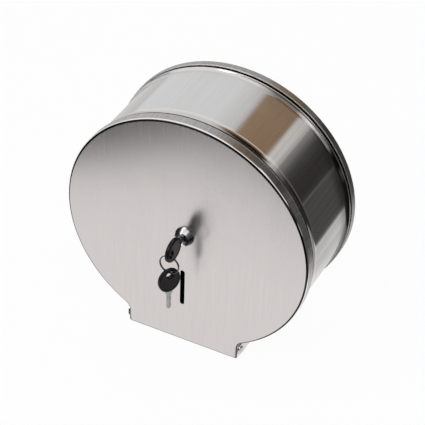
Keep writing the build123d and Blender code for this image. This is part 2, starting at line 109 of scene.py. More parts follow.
class Surface:
    """Patches of one piece, gathered and then welded into a closed mesh."""

    def __init__(self):
        self.points = []
        self.faces = []
        self.count = 0

    def add(self, points, faces):
        """Takes points (n, 3) and faces that number them from 0."""
        points = np.asarray(points, float).reshape(-1, 3)
        self.points.append(points)
        self.faces += (np.asarray(faces) + self.count).tolist()
        self.count += len(points)

    def grid(self, points, wrap_rows=False, wrap_columns=False):
        """Takes an array (rows, columns, 3)."""
        rows, columns = points.shape[:2]
        self.add(points, grid_faces(rows, columns, wrap_rows, wrap_columns))

    def flat(self, loops):
        """Fills the outer loop and leaves the others open as holes."""
        triangles = tessellate_polygon([[Vector(p) for p in loop] for loop in loops])
        self.add(np.concatenate(loops), triangles)

    def rod(self, sections):
        """Takes closed sections (n, points, 3) in a row and closes both ends."""
        self.grid(sections, wrap_columns=True)
        for end in (0, -1):
            self.flat([sections[end]])

    def piece(self, name, finish, body, slot, nodes):
        """Makes the object, welds it, turns its faces out and hands it to the frame."""
        mesh = bpy.data.meshes.new(name)
        mesh.from_pydata(np.concatenate(self.points).tolist(), [], self.faces)
        work = bmesh.new()
        work.from_mesh(mesh)
        bmesh.ops.remove_doubles(work, verts=work.verts, dist=2e-6)
        bmesh.ops.dissolve_degenerate(work, edges=work.edges, dist=1e-7)
        bmesh.ops.recalc_face_normals(work, faces=work.faces)
        work.to_mesh(mesh)
        work.free()
        return finished(name, mesh, finish, body, nodes, 32.0)


def finished(name, mesh, finish, body, nodes, sharp):
    """Puts a mesh in the scene with its finish, smooth but for edges sharper than this."""
    mesh.shade_smooth()
    mesh.set_sharp_from_angle(angle=np.radians(sharp))
    mesh.materials.clear()
    mesh.materials.append(finish)
    obj = bpy.data.objects.new(name, mesh)
    bpy.context.scene.collection.objects.link(obj)
    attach(obj, body)
    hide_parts(*nodes)
    return obj


def dressed(node, finish, body, bevel):
    """Keeps a node's solid: its triangles are welded into a copy and its edges eased."""
    work = bmesh.new()
    work.from_mesh(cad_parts[node].data)
    bmesh.ops.remove_doubles(work, verts=work.verts, dist=2e-6)
    bmesh.ops.dissolve_limit(work, angle_limit=np.radians(1.0), verts=work.verts, edges=work.edges)
    mesh = bpy.data.meshes.new(node + "_dressed")
    work.to_mesh(mesh)
    work.free()
    obj = finished(node + "_dressed", mesh, finish, body, [node], 28.0)
    ease = obj.modifiers.new("Eased edges", "BEVEL")
    ease.width = bevel
    ease.segments = 2
    ease.limit_method = "ANGLE"
    ease.angle_limit = np.radians(40)
    ease.harden_normals = True


# Outlines: (points, outward normals) as arrays (n, 2) in X and Z, anticlockwise -------
def arc(centre, radius, start, end, steps, hollow=False):
    """Arc about a centre; a hollow arc has its material outside, so its normals turn in."""
    angle = np.radians(np.linspace(start, end, steps))
    ray = np.stack([np.cos(angle), np.sin(angle)], axis=1)
    return np.asarray(centre) + radius * ray, -ray if hollow else ray


def disc_with_chin(half_width):
    """Circle above, then a hollow neck, a straight side and a round corner on each side of
    the chin. The neck's centre lies a neck radius outside both the circle and the side."""
    reach = half_width + NECK
    height = -np.sqrt((DISC + NECK) ** 2 - reach ** 2)
    side, floor = half_width - CORNER, CHIN_BOTTOM + CORNER
    lean = np.degrees(np.arctan2(-height, reach))
    parts = [
        arc((0, 0), DISC, -lean, 180 + lean, 241),
        arc((-reach, height), NECK, lean, 0, 15, hollow=True),
        arc((-side, floor), CORNER, 180, 270, 9),
        arc((side, floor), CORNER, 270, 360, 9),
        arc((reach, height), NECK, 180, 180 - lean, 15, hollow=True),
    ]
    points = np.concatenate([p for p, _ in parts])
    normals = np.concatenate([n for _, n in parts])
    keep = np.linalg.norm(points - np.roll(points, 1, axis=0), axis=1) > 1e-7
    return points[keep], normals[keep]


def round_hole(centre, radius, steps=48):
    """Circle; its normals point away from its centre."""
    return arc(centre, radius, 0, 360 - 360 / steps, steps)


def slot_hole(centre, length, width, steps=13):
    """Upright slot with round ends."""
    x, z = centre
    rise = (length - width) / 2
    top = arc((x, z + rise), width / 2, 0, 180, steps)
    low = arc((x, z - rise), width / 2, 180, 360, steps)
    return np.concatenate([top[0], low[0]]), np.concatenate([top[1], low[1]])


def ring_at(shape, inset, depth):
    """Loop (n, 3) of an outline moved in by the inset and placed off the wall."""
    points, normals = shape
    flat = points - inset * normals
    return np.stack([flat[:, 0], np.full(len(flat), -depth), flat[:, 1]], axis=1)


def rounded(points, radii, steps=6):
    """Path with its corners rounded: each corner becomes an arc that touches both legs."""
    path = [np.asarray(points[0], float)]
    for before, here, after, radius in zip(points[:-2], points[1:-1], points[2:], radii):
        before, here, after = (np.asarray(p, float) for p in (before, here, after))
        a = (before - here) / np.linalg.norm(before - here)
        b = (after - here) / np.linalg.norm(after - here)
        half = np.arccos(np.clip(a @ b, -1, 1)) / 2
        if radius <= 0:
            path.append(here)
            continue
        middle = here + (a + b) / np.linalg.norm(a + b) * radius / np.sin(half)
        start = here + a * radius / np.tan(half) - middle
        end = here + b * radius / np.tan(half) - middle
        swing = PI - 2 * half
        t = np.linspace(0, 1, steps)[:, None]
        arc_points = (np.sin((1 - t) * swing) * start + np.sin(t * swing) * end) / np.sin(swing)
        path += list(middle + arc_points)
    path.append(np.asarray(points[-1], float))
    return np.array(path)


def turned_grid(profile, start=0.0, end=360.0, steps=97):
    """Profile (n, 2) of (radius, depth) carried round the centre line, +X towards +Z."""
    angle = np.radians(np.linspace(start, end, steps))[:, None]
    radius, depth = profile[:, 0][None, :], profile[:, 1][None, :]
    return np.stack([radius * np.cos(angle), -depth + 0 * angle, radius * np.sin(angle)], axis=2)


# Shader helpers -----------------------------------------------------------------------
class Value:
    """A number socket whose Python operators add Math nodes."""

    def __init__(self, tree, socket):
        self.tree = tree
        self.socket = socket

    def _math(self, operation, a, b=None):
        return self.tree.node("ShaderNodeMath", {"operation": operation}, {0: a, 1: b})

    def __add__(self, other):
        return self._math("ADD", self, other)

    __radd__ = __add__

    def __sub__(self, other):
        return self._math("SUBTRACT", self, other)

    def __rsub__(self, other):
        return self._math("SUBTRACT", other, self)

    def __mul__(self, other):
        return self._math("MULTIPLY", self, other)

    __rmul__ = __mul__

    def __truediv__(self, other):
        return self._math("DIVIDE", self, other)

    def smaller(self, other):
        return self._math("MINIMUM", self, other)

    def larger(self, other):
        return self._math("MAXIMUM", self, other)

    def distance(self):
        """How far from 0, on either side."""
        return self._math("ABSOLUTE", self)

    def step(self, low, high):
        """0 below low, 1 above high, smooth between them."""
        return self.tree.node("ShaderNodeMapRange", {"interpolation_type": "SMOOTHSTEP"},
                              {0: self, 1: low, 2: high, 3: 0.0, 4: 1.0})


class Tree:
    """Node tree of one material or world."""

    def __init__(self, owner):
        owner.use_nodes = True
        self.tree = owner.node_tree
        self.tree.nodes.clear()

    def node(self, kind, settings=None, inputs=None, output=0):
        """Adds a node: its settings first, then its sockets, each a value or a link."""
        node = self.tree.nodes.new(kind)
        for name, value in (settings or {}).items():
            if name == "ramp":
                self._fill_ramp(node.color_ramp, value)
            else:
                setattr(node, name, value)
        for key, value in (inputs or {}).items():
            if value is None:
                continue
            if isinstance(value, Value):
                self.tree.links.new(value.socket, node.inputs[key])
            else:
                node.inputs[key].default_value = value
        return None if output is None else Value(self, node.outputs[output])

    @staticmethod
    def _fill_ramp(ramp, stops):
        while len(ramp.elements) < len(stops):
            ramp.elements.new(0.5)
        for element, (place, colour) in zip(ramp.elements, stops):
            element.position = place
            element.color = (*colour, 1.0)

    def place(self, scale=(1, 1, 1)):
        """Object coordinates, stretched by a Mapping node."""
        coordinates = self.node("ShaderNodeTexCoord", output=3)
        return self.node("ShaderNodeMapping", {}, {0: coordinates, 3: scale})

    def noise(self, scale, detail, rough):
        """Noise in object space at one scale, or drawn out along the axis of a small one."""
        scale = [float(size) for size in np.broadcast_to(scale, 3)]
        return self.node("ShaderNodeTexNoise", {}, {0: self.place(scale), 2: 1.0, 3: detail, 4: rough})

    def axes(self, vector):
        """X, Y and Z of a vector."""
        return [self.node("ShaderNodeSeparateXYZ", {}, {0: vector}, output=i) for i in range(3)]

    def ramp(self, factor, stops):
        """Colour by a factor from 0 to 1: each stop is (place, colour)."""
        return self.node("ShaderNodeValToRGB", {"ramp": stops}, {0: factor})

    def levels(self, factor, stops):
        """Three numbers by a factor, held in the three channels of a ramp."""
        colour = self.ramp(factor, stops)
        return [self.node("ShaderNodeSeparateColor", {}, {0: colour}, output=i) for i in range(3)]

    def mix(self, factor, first, second):
        """Mixes two colours."""
        return self.node("ShaderNodeMix", {"data_type": "RGBA"}, {0: factor, 6: first, 7: second}, output=2)

    def bump(self, height, depth):
        """Bump of the height, which runs from 0 to 1, over a depth in metres."""
        return self.node("ShaderNodeBump", {}, {0: 1.0, 1: depth, "Height": height})

    def surface(self, shader, owner="Material"):
        """Links the finished shader to the output."""
        self.node("ShaderNodeOutput" + owner, {}, {0: shader}, output=None)


def rgb(colour):
    """Colour with full alpha."""
    return (*colour[:3], 1.0)


def new_finish(name):
    """Empty material and its tree."""
    material = bpy.data.materials.new(name)
    return material, Tree(material)


def skinned(material, tree, colour, gloss, relief, plain):
    """Joins a finish's colour, roughness and relief in one shader, whose plain sockets are
    the same all over."""
    tree.surface(tree.node("ShaderNodeBsdfPrincipled", {}, {
        "Base Color": colour, "Roughness": gloss, "Normal": relief, **plain}))
    return material


def round_axis(tree, turns):
    """Three numbers by the angle about the centre line, in degrees from +X towards +Z."""
    x, _, z = tree.axes(tree.place())
    angle = tree.node("ShaderNodeMath", {"operation": "ARCTAN2"}, {0: z, 1: x}) / (2 * PI) + 0.5
    stops = [(degrees / 360 + 0.5, levels) for degrees, *levels in turns]
    return tree.levels(angle, stops)


def brushed(name, along, tint, rough, brush_depth, zones=None, turns=None):
    """Brushed stainless steel. Hairlines and broader streaks run along one axis, and a cloud
    varies the gloss as handling does. Zones follow the depth off the wall and paint light and
    shade into the colour: each is (depth, share of the tint, added roughness, share of grain
    that runs along the depth); a share below 1 is painted shade that darkens the steel towards
    near-black, and a share above 1 is a painted highlight that lightens it towards white.
    Turns follow the angle round the disc: each is (degrees, how far the painted shade is
    cleared, strength of the broad streaks, how much of the painted shade's share is kept)."""
    material, tree = new_finish(name)

    def streaks(across, down, detail, rough):
        scale = [across] * 3
        scale["XYZ".index(along)] = down
        return tree.noise(scale, detail, rough)

    lines = streaks(2300.0, 30.0, 2.0, 0.6) * 0.55 + streaks(640.0, 12.0, 2.0, 0.5) * 0.45
    cloud = tree.noise(11, 4.0, 0.6)
    smear = tree.noise((70, 70, 26), 4.0, 0.65)
    gloss = (lines - 0.5) * 0.12 + (cloud - 0.5) * 0.07 + (smear - 0.5) * 0.05 + rough
    colour = tree.mix(lines.step(0.32, 0.68), rgb([c * 0.95 for c in tint]), rgb(tint))
    colour = tree.mix(cloud.step(0.42, 0.80) * 0.5, colour, rgb([c * 0.95 for c in tint]))
    if turns:
        # Painted light by angle: how far the painted shade is cleared, how strong the broad streaks are and how
        # much of the painted shade is kept.
        cleared, reeds, kept = round_axis(tree, turns)
        reed = streaks(150.0, 1.5, 3.0, 0.6)
        colour = tree.mix(reed.step(0.40, 0.66) * reeds, colour, rgb([c * 0.55 for c in tint]))
        gloss = gloss + (reed - 0.5) * reeds * 0.35
    if zones:
        start, end = zones[0][0], zones[-1][0]
        off_wall = tree.axes(tree.place())[1] * -1
        # A ramp holds 0 to 1, so the share goes in halved and the roughness lifted by 0.5.
        stops = [((depth - start) / (end - start), (share / 2, more + 0.5, drawn))
                 for depth, share, more, drawn in zones]
        share, more, drawn = tree.levels((off_wall - start) / (end - start), stops)
        share = share * 2
        if turns:
            # Clearing lightens the painted shade, but the blackest only where it nears 1.
            reached = share.step(0.08, 0.14).larger(cleared.step(0.9, 1.0))
            share = share + (1 - share).larger(0) * cleared * reached
            # Where less is kept, the painted shade is deepened at that angle; painted highlights stay.
            share = share * (1 - (1 - kept) * (1 - share.step(0.85, 0.95)))
        strokes = tree.noise((2600, 9, 2600), 2.0, 0.6)
        lines = lines * (1 - drawn) + strokes * drawn
        dull = tree.mix(strokes.step(0.35, 0.62) * drawn, colour, rgb([c * 1.25 for c in tint]))
        dull = tree.mix((1 - strokes.step(0.36, 0.55)) * drawn * 0.5, dull, rgb([c * 0.5 for c in tint]))
        # Painted shade and painted highlight: a share below 1 darkens the steel towards near-black, a share
        # above 1 lightens it towards white.
        colour = tree.mix(share, (0.012, 0.010, 0.009, 1), dull)
        colour = tree.mix(share - 1, colour, (1.0, 0.985, 0.96, 1))
        gloss = gloss + more - 0.5 + (strokes - 0.5) * drawn * 0.2
    return skinned(material, tree, colour, gloss.larger(0.05), tree.bump(lines, brush_depth), {"Metallic": 1.0})


def plated(name, tint, rough, cloudy=0.05, depth=2e-6, turns=None):
    """Chrome, nickel or zinc plate: a smooth metal with faint ripple, wipe marks and spots.
    Turns follow the angle round the centre line and paint reflections into the colour: each is
    (degrees, share of the tint), and a share below 1 is a painted dark reflection that darkens
    the plate towards near-black."""
    material, tree = new_finish(name)
    ripple = tree.noise(260, 2.0, 0.5)
    wipe = tree.noise((700, 700, 120), 3.0, 0.6)
    cloud = tree.noise(60, 4.0, 0.6)
    colour = tree.mix(cloud.step(0.35, 0.75), rgb(tint), rgb([c * (1 - 2 * cloudy) for c in tint]))
    if turns:
        # Painted reflections: the tint by angle, darkened towards near-black where the share is low.
        share = round_axis(tree, [(degrees, level, level, level) for degrees, level in turns])[0]
        colour = tree.mix(share, (0.012, 0.012, 0.014, 1), colour)
    gloss = (wipe - 0.5) * cloudy * 2 + (cloud - 0.5) * cloudy + rough
    return skinned(material, tree, colour, gloss.larger(0.03), tree.bump(ripple, depth), {"Metallic": 1.0})


def moulded(name, tint, rough, depth=1.2e-5):
    """Moulded plastic with a spark-eroded texture, rubbed smoother in patches."""
    material, tree = new_finish(name)
    pebble = tree.noise(1500, 2.0, 0.6)
    rub = tree.noise(90, 4.0, 0.6)
    colour = tree.mix(rub.step(0.4, 0.7), rgb(tint), rgb([c * 1.8 + 0.002 for c in tint]))
    gloss = (rub - 0.5) * 0.22 + (pebble - 0.5) * 0.10 + rough
    return skinned(material, tree, colour, gloss.larger(0.08), tree.bump(pebble, depth),
                   {"IOR": 1.45, "Specular IOR Level": 0.14})


# Sheet metal --------------------------------------------------------------------------
def sheet_path(corners, radii, hold=0.35 * MM):
    """Path of a folded sheet's skin. Each fold is an arc, with a point held on the flat
    beside it so that the flat stays flat."""
    path = [np.asarray(corners[0], float)]
    for before, here, after, radius in zip(corners[:-2], corners[1:-1], corners[2:], radii):
        fold = rounded([before, here, after], [radius])[1:-1]
        before, here, after = (np.asarray(p, float) for p in (before, here, after))
        back = (before - here) / np.linalg.norm(before - here)
        on = (after - here) / np.linalg.norm(after - here)
        path += [fold[0] + back * hold, *fold, fold[-1] + on * hold]
    path.append(np.asarray(corners[-1], float))
    return np.array(path)


def swept(surface, shape, section):
    """Section (n, 2) of (inset, depth) carried round an outline."""
    loops = [ring_at(shape, inset, depth) for inset, depth in section]
    surface.grid(np.stack(loops), wrap_columns=True)


def pierced(surface, shape, flat, holes, front, back, joined=()):
    """Flat sheet between two depths, from an inset of the outline inwards. The edges of its
    holes are broken by a small round; each hole is (points, outward normals). A joined hole
    is left bare for the sheet that goes on there."""
    soft = 0.14 * MM
    wide = soft + 0.5 * MM
    wall = sheet_path([(wide, front), (0, front), (0, back), (wide, back)], [soft, soft], hold=0.12 * MM)
    for hole in holes:
        swept(surface, hole, wall * (-1, 1))
    for depth in (front, back):
        bare = [ring_at(shape, flat, depth)] + [ring_at(hole, 0, depth) for hole in joined]
        surface.flat(bare + [ring_at(hole, -wide, depth) for hole in holes])


def flanged(surface, shape, outside, inside, rim, edge):
    """Edge of a pressed tray: the flat's two skins turn through an edge radius into a flange
    that ends on the rim's depth. Gives the inset at which the flat begins."""
    flat = edge + 0.9 * MM
    lip = bpy.context.scene.dispenser_steel.lip
    corners = [(flat, outside), (0, outside), (0, rim), (SHEET, rim), (SHEET, inside), (flat, inside)]
    swept(surface, shape, sheet_path(corners, [edge, lip, lip, edge - SHEET]))
    return flat


def front_cover_mesh():
    """Pressed cover: a face with slot and lock hole, an edge radius and a flange."""
    slot_middle, slot_length, slot_width = (-1.3 * MM, -68.1 * MM), 45.1 * MM, 5.0 * MM
    lock_hole = 8.15 * MM
    shape = disc_with_chin(CHIN_HALF)
    surface = Surface()
    flat = flanged(surface, shape, FACE, FACE - SHEET, COVER_RIM, COVER_EDGE)
    holes = [slot_hole(slot_middle, slot_length, slot_width), round_hole((0, 0), lock_hole)]
    pierced(surface, shape, flat, holes, FACE, FACE - SHEET)
    return surface


def back_pan_mesh():
    """Dished back plate: a flange forward, four wall holes and a raised centre, which is a
    profile turned round the centre line in as many steps as the hole it closes."""
    hole_reach, hole_radius, steps = 70 * MM, 3.25 * MM, 96
    top, foot, dish, height, fold = 38 * MM, 41 * MM, 46 * MM, 3 * MM, 2.2 * MM
    shape = disc_with_chin(PAN_HALF)
    surface = Surface()
    flat = flanged(surface, shape, 0, SHEET, PAN_RIM, PAN_EDGE)
    spots = [round_hole((hole_reach * i, hole_reach * j), hole_radius, 32) for i in (-1, 1) for j in (-1, 1)]
    pierced(surface, shape, flat, spots, SHEET, 0, [round_hole((0, 0), dish, steps)])
    for lift, out in ((0, 0), (SHEET, 0.4 * MM)):
        rise = [(0, height + lift), (top + out, height + lift), (foot + out, lift), (dish, lift)]
        bowl = turned_grid(sheet_path(rise, [fold, fold])[1:], 0, 360 - 360 / steps, steps)
        surface.grid(bowl, wrap_rows=True)
        surface.flat([bowl[:, 0]])
    return surface


def cove(from_depth, to_depth, drum, rim, steps=9):
    """Arc that leaves the drum along the depth and ends on the rim: (radius, depth)."""
    rise, run = rim - drum, abs(to_depth - from_depth)
    radius = (rise ** 2 + run ** 2) / (2 * rise)
    turn = np.linspace(0, 2 * np.arctan2(rise, run), steps)
    way = np.sign(to_depth - from_depth)
    return np.stack([drum + radius * (1 - np.cos(turn)), from_depth + way * radius * np.sin(turn)], axis=1)


def drum_band_mesh():
    """Rolled band: a foot, a groove behind a rear bead, a cove, the drum, a second cove and
    a crest turned in at the front. Both skins have the same count of points, so the cut
    ends are strips between them. The register is a hoop inside the crest."""
    def skin(inset, foot, heel, bead, brow):
        drum, rim, groove = DRUM - inset, BAND_RIM - inset, BAND_GROOVE - inset
        low, rear, front = SHEET + inset, BEAD_REAR + inset, BAND_FRONT - inset
        back = sheet_path([(BAND_FOOT, low), (groove, low), (groove, rear), (rim, rear), (rim, BEAD_FRONT)],
                          [foot, heel, bead])
        rear_cove = cove(REAR_COVE_END, BEAD_FRONT, drum, rim)[::-1]
        front_cove = cove(FRONT_COVE_START, FRONT_COVE_END, drum, rim, 13)
        beside, middle = 0.6 * MM, 56 * MM
        straight = [(drum, depth) for depth in (REAR_COVE_END + beside, middle, FRONT_COVE_START - beside)]
        crest = sheet_path([(rim, FRONT_COVE_END), (rim, front), (CREST_END, front)], [brow], hold=0.05 * MM)
        return np.concatenate([back, rear_cove[1:], straight, front_cove, crest[1:]])

    lean = band_lean()
    outer = turned_grid(skin(0.0, 1.2 * MM, 0.3 * MM, 0.65 * MM, 0.6 * MM), -lean, 180 + lean, 289)
    inner = turned_grid(skin(SHEET, 0.3 * MM, 1.2 * MM, 0.25 * MM, 0.35 * MM), -lean, 180 + lean, 289)
    surface = Surface()
    surface.grid(outer)
    surface.grid(inner)
    for end in (0, -1):
        surface.grid(np.stack([outer[:, end], inner[:, end]]))
        surface.grid(np.stack([outer[end], inner[end]]))
    inside, outside, edge, below = CREST_END, CREST_END + SHEET, 0.25 * MM, 20
    register = sheet_path([(inside, REGISTER_REAR), (outside, REGISTER_REAR), (outside, REGISTER_FRONT),
                           (inside, REGISTER_FRONT), (inside, REGISTER_REAR)], [0, edge, edge], hold=0.1 * MM)
    surface.rod(turned_grid(register[:-1], -below, 180 + below, 217))
    return surface


def band_lean():
    """Angle below the centre line where the band ends, where its inside meets the neck."""
    return np.degrees(np.arccos((PAN_HALF - SHEET + NECK) / (DRUM - SHEET + NECK)))


# Lock, keys and ring ------------------------------------------------------------------
def threaded(radius, depth, pitch, cut, steps):
    """Threaded rod: the radius falls and rises once a pitch along a helix, as a triangle
    wave of the depth over the pitch plus the turn."""
    angle = np.linspace(0, 2 * PI, steps)[:, None]
    along = depth[None, :]
    wave = np.abs(2 * ((along / pitch + angle / (2 * PI)) % 1.0) - 1)
    reach = radius - cut * wave
    return np.stack([reach * np.cos(angle), -along + 0 * angle, reach * np.sin(angle)], axis=2)


def lock_housing_mesh():
    """Turned chrome bezel on a threaded body. The body's flats clamp X to their width."""
    front = -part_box("lock_housing")[0].y
    rear = -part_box("lock_housing")[1].y
    rod, flats, foot, crown, lip = 8.0 * MM, 7.0 * MM, 10.5 * MM, 8.2 * MM, 7.6 * MM
    bore, head, funnel, mouth_rim = 5.05 * MM, 5.55 * MM, 6.05 * MM, 6.9 * MM
    seat_depth = front - 3.5 * MM
    steps = 73
    bezel = sheet_path(
        [(rod, FACE), (foot, FACE), (foot, FACE + 0.8 * MM), (crown, front - 0.35 * MM), (lip, front),
         (funnel, front), (head, front - 0.5 * MM), (head, seat_depth), (bore, seat_depth)],
        [0.05 * MM, 0.35 * MM, 0.45 * MM, 0.4 * MM, 0.2 * MM, 0.2 * MM, 0.02 * MM], hold=0.06 * MM)
    depth = np.arange(rear + 0.5 * MM, FACE - 0.2 * MM, 0.125 * MM)
    body = threaded(rod, depth, 1.0 * MM, 0.45 * MM, steps)
    body[..., 0] = np.clip(body[..., 0], -flats, flats)
    mouth = turned_grid(np.array([(bore, rear), (mouth_rim, rear)]), steps=steps)
    face = turned_grid(np.array([(rod, FACE)]), steps=steps)
    surface = Surface()
    surface.grid(turned_grid(bezel, steps=129))
    surface.grid(body)
    surface.grid(turned_grid(np.array([(bore, seat_depth), (bore, rear)]), steps=steps))
    surface.grid(mouth)
    surface.grid(np.stack([mouth[:, 1], body[:, 0]], axis=1))
    surface.grid(np.stack([body[:, -1], face[:, 0]], axis=1))
    return surface


def bow_mesh(size):
    """Moulded bow. Its face is a grid from the ring hole, a circle, out to the rim, an oval;
    a point is a share of the way along the line between the two. The half thickness is full
    on a raised border round both, falls off in a quarter round at their edges and dips to a
    shallow panel between them."""
    length, height, thick, hole, hole_in = size
    middle = length / 2 - hole_in
    turn = np.linspace(0, 2 * PI, 97)[:-1]
    way = (1 - np.cos(np.linspace(0, PI, 45))) / 2
    cy, cz = hole * np.cos(turn), hole * np.sin(turn)
    oy, oz = middle + length / 2 * np.cos(turn), height / 2 * np.sin(turn)
    y = cy + way[:, None] * (oy - cy)
    z = cz + way[:, None] * (oz - cz)
    rim = (1 - np.hypot((y - middle) / (length / 2), z / (height / 2))) * height / 2
    collar = np.hypot(y, z) - hole
    rim_round, hole_round = 1.5 * MM, 0.8 * MM

    def fall(distance, radius):
        inside = np.clip(radius - distance, 0, radius)
        return radius - np.sqrt(np.maximum(radius ** 2 - inside ** 2, 0))

    near = np.minimum(rim - 1.1 * MM, collar)
    dip = np.clip((near - 1.0 * MM) / (0.6 * MM), 0, 1)
    half = thick / 2 - fall(rim, rim_round) - fall(collar, hole_round)
    half = half - 0.4 * MM * dip ** 2 * (3 - 2 * dip)
    half = np.maximum(half, thick / 2 - rim_round)
    surface = Surface()
    for side in (1, -1):
        surface.grid(np.stack([side * half, y, z], axis=2), wrap_columns=True)
    for row in (0, -1):
        wall = np.linspace(-half[row], half[row], 5)
        surface.grid(np.stack([wall, y[row] + 0 * wall, z[row] + 0 * wall], axis=2), wrap_columns=True)
    return surface


def blade_mesh(start, size):
    """Flat key blank. Its section is a closed loop of (thickness, height) carried along the
    key; the height follows the shoulder, the cuts and the tip, and a milled groove runs
    along each side of the blade."""
    shoulder, tip, wide, half, thick = size
    cut = np.array([0.9, 1.5, 0.7, 1.3]) * MM
    begin = shoulder + 2.4 * MM + 3.2 * MM * np.arange(4)
    bite = np.stack([begin, begin + 0.9 * MM, begin + 1.7 * MM, begin + 2.6 * MM], axis=1).ravel()
    depth = np.stack([0 * cut, cut, cut, 0 * cut], axis=1).ravel()
    step = 0.03 * MM
    top_y = [start, shoulder - 0.35 * MM, shoulder, shoulder + step, *bite, tip - 2 * MM, tip]
    top_z = np.concatenate([[wide, wide, wide - 0.35 * MM, half], half - depth, [half, 0.4 * MM]])
    low_y = np.array([start, shoulder - 0.35 * MM, shoulder, shoulder + step, tip - 2.2 * MM, tip])
    low_z = -np.array([wide, wide, wide - 0.35 * MM, half, half, half / 2 - 0.4 * MM])
    y = np.unique(np.concatenate([top_y, low_y, np.linspace(start, tip, 60)]))
    top, low = np.interp(y, top_y, top_z), np.interp(y, low_y, low_z)
    soft = 0.16 * MM
    x = thick / 2
    milled = np.clip((y - shoulder - 1.2 * MM) / (1.0 * MM), 0, 1) * 0.32 * MM
    groove = [(-0.75 * MM, 0), (-0.55 * MM, 1), (0.25 * MM, 1), (0.45 * MM, 0)]

    def side(sign):
        rows = [(sign * (x - soft) + 0 * y, low), (sign * x + 0 * y, low + soft)]
        rows += [(sign * (x - share * milled), z + 0 * y) for z, share in groove]
        rows += [(sign * x + 0 * y, top - soft), (sign * (x - soft) + 0 * y, top)]
        return rows

    loop = side(1) + side(-1)[::-1]
    shape = np.stack([np.stack([a, y, b], axis=1) for a, b in loop], axis=1)
    surface = Surface()
    surface.rod(shape)
    return surface


def ring_mesh(radius, wire, spread):
    """Split ring: a wire of rounded section wound twice. Its centre line stays on one side
    for a turn, crosses over along a smooth step, and stays on the other side."""
    gap, start, steps = 0.42, 2.2, 385
    turn = np.linspace(gap, 4 * PI - gap, steps)
    cross = np.clip((turn - 2 * PI + gap) / (2 * gap), 0, 1)
    side = spread * (cross ** 2 * (3 - 2 * cross) - 0.5)
    around = np.linspace(0, 2 * PI, 17)[:-1]
    count = np.arange(steps)
    flat = np.minimum(1.0, np.minimum(count, count[::-1]) / 3.0 + 0.55)
    out = radius + wire * flat[:, None] * np.cos(around)
    along = side[:, None] + 0.94 * wire * flat[:, None] * np.sin(around)
    angle = (turn + start)[:, None]
    shape = np.stack([out * np.cos(angle), along, out * np.sin(angle)], axis=2)
    surface = Surface()
    surface.rod(shape)
    return surface


def moved(surface, turn, shift):
    """Moves a surface's patches: each point is turned by a matrix, then shifted."""
    turn = np.array(turn)
    surface.points = [p @ turn[:3, :3].T + np.array(shift) for p in surface.points]
    return surface


# Sizes and colours a user may change --------------------------------------------------
COLOUR = {"subtype": "COLOR", "size": 3, "min": 0, "max": 1}
LENGTH = {"subtype": "DISTANCE", "unit": "LENGTH"}


class SteelSettings(bpy.types.PropertyGroup):
    """Finish and edges of the sheet steel."""
    tint: FloatVectorProperty(name="Steel", description="Colour of the bare stainless steel",
                              **COLOUR, default=(0.735, 0.708, 0.70))
    gloss: FloatProperty(name="Roughness", description="Mean roughness of the brushed faces",
                         subtype="FACTOR", min=0.05, max=1, default=0.20)
    brush: FloatProperty(name="Brush depth", description="Depth of the brushed grain",
                         **LENGTH, min=0, max=1e-4, default=4e-6)
    lip: FloatProperty(name="Sheet edge", description="Radius that breaks the cut edges of the flanges",
                       **LENGTH, min=1e-5, max=4.5e-4, default=0.22 * MM)


class LockSettings(bpy.types.PropertyGroup):
    """Colours and sizes of the lock, keys and ring."""
    chrome: FloatVectorProperty(name="Chrome", description="Colour of the lock's bezel",
                                **COLOUR, default=(0.78, 0.78, 0.79))
    bow: FloatVectorProperty(name="Key bow", description="Colour of the moulded bows",
                             **COLOUR, default=(0.006, 0.006, 0.0065))
    nickel: FloatVectorProperty(name="Nickel", description="Colour of the plug and the keys' steel",
                                **COLOUR, default=(0.56, 0.56, 0.56))
    wire: FloatProperty(name="Ring wire", description="Radius of the split ring's wire",
                        **LENGTH, min=1e-4, max=1e-3, default=0.6 * MM)


class InnerSettings(bpy.types.PropertyGroup):
    """Colours of what the cover hides."""
    hub: FloatVectorProperty(name="Hub", description="Colour of the moulded roll hub",
                             **COLOUR, default=(0.055, 0.058, 0.062))
    zinc: FloatVectorProperty(name="Zinc", description="Colour of plated washers, clip and nut",
                              **COLOUR, default=(0.60, 0.61, 0.63))


class StudioSettings(bpy.types.PropertyGroup):
    """Floor and light."""
    floor: FloatVectorProperty(name="Floor", description="Colour of the floor",
                               **COLOUR, default=(0.86, 0.86, 0.86))
    paper: FloatProperty(name="Paper", description="How far the white paper runs out in front",
                         **LENGTH, min=0.05, default=0.30)
    light: FloatProperty(name="Light", description="Level of the lamps", min=0, default=1.0)


GROUPS = (("dispenser_steel", SteelSettings), ("dispenser_lock", LockSettings),
          ("dispenser_inner", InnerSettings), ("dispenser_studio", StudioSettings))


# Operators ----------------------------------------------------------------------------
def steel(name, along, tint=1.0, rough=0.0, brush=1.0, zones=None, turns=None):
    """Brushed finish in the user's steel, lighter, rougher or more deeply cut if asked."""
    s = bpy.context.scene.dispenser_steel
    zones = zones and [(place * MM, *rest) for place, *rest in zones]
    return brushed(name, along, [c * tint for c in s.tint], s.gloss + rough, s.brush * brush, zones, turns)


